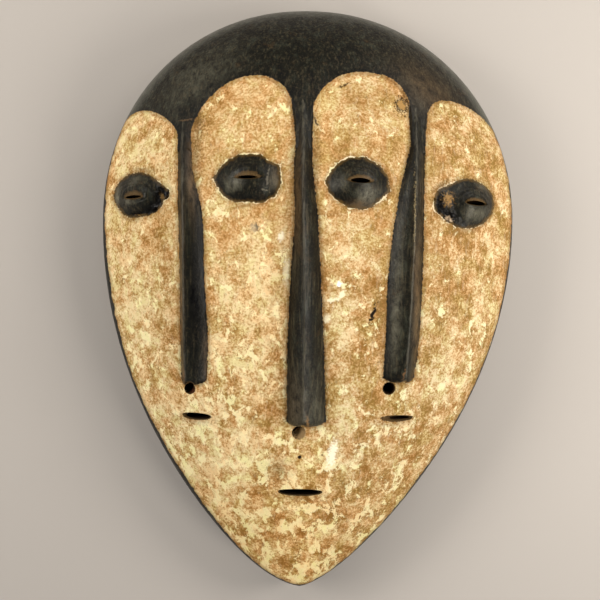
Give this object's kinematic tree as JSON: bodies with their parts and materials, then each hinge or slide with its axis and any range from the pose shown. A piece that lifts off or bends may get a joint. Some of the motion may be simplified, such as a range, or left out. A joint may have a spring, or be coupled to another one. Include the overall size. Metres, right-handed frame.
{
  "type": "carved wooden face mask",
  "caption": "Egg-shaped wooden face mask with a hollow back, ridge noses and raised slit eyes on pale kaolin fields under a black domed forehead.",
  "frame": {"origin": "in the plane of the flat back rim, under the middle of the mask's box", "axes": "+Z out of the face, away from the wearer; +Y from the chin to the forehead; +X to the right as the face is looked at"},
  "size_m": [0.306, 0.4268, 0.1086],
  "materials": {
    "kaolin_wood": "worn matt kaolin over dark wood, with a black waxed forehead, noses and eyes"
  },
  "bodies": {
    "root": {"mask": "kaolin_wood"}
  },
  "joints": []
}
